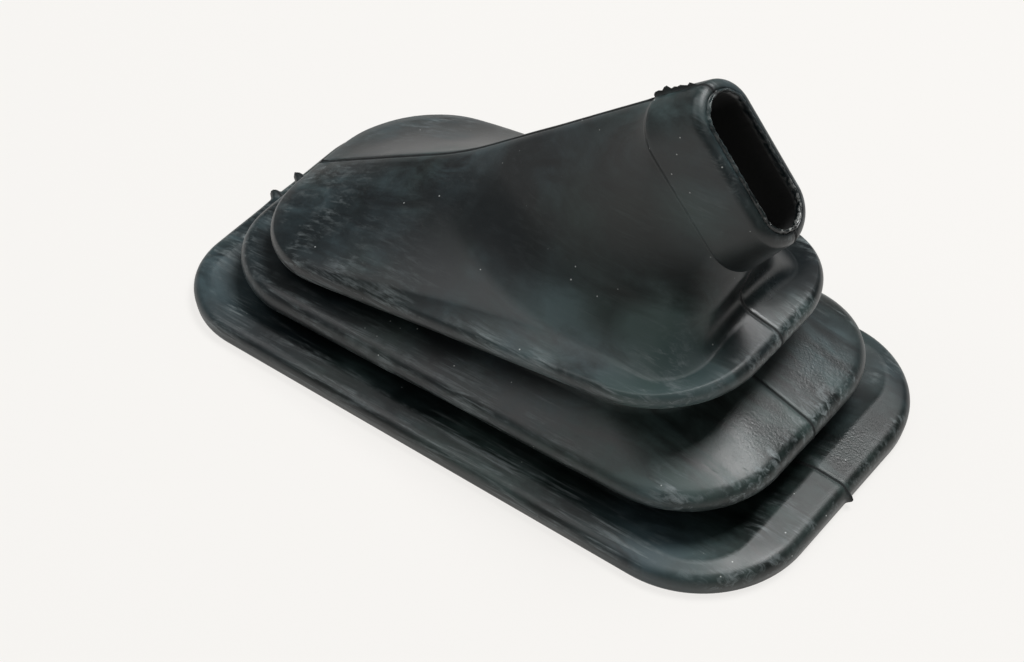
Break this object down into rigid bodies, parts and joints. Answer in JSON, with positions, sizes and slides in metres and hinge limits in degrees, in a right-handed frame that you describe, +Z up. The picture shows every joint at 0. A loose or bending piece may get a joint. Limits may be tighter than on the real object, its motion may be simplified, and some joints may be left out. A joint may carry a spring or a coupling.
{
  "type": "handbrake lever boot",
  "caption": "Moulded rubber bellows boot for a hand lever, with a rounded rectangular base flange, two fanned folds and a raised spout ending in a slotted collar.",
  "frame": {"origin": "middle of the base flange's underside", "axes": "+X towards the front, where the spout opens; +Y to the left; +Z up, away from the flange's underside"},
  "size_m": [0.2, 0.111, 0.1163],
  "materials": {
    "rubber": "semi-matte moulded black rubber with a faint blue-green bloom"
  },
  "bodies": {
    "root": {"boot": "rubber"}
  },
  "joints": []
}
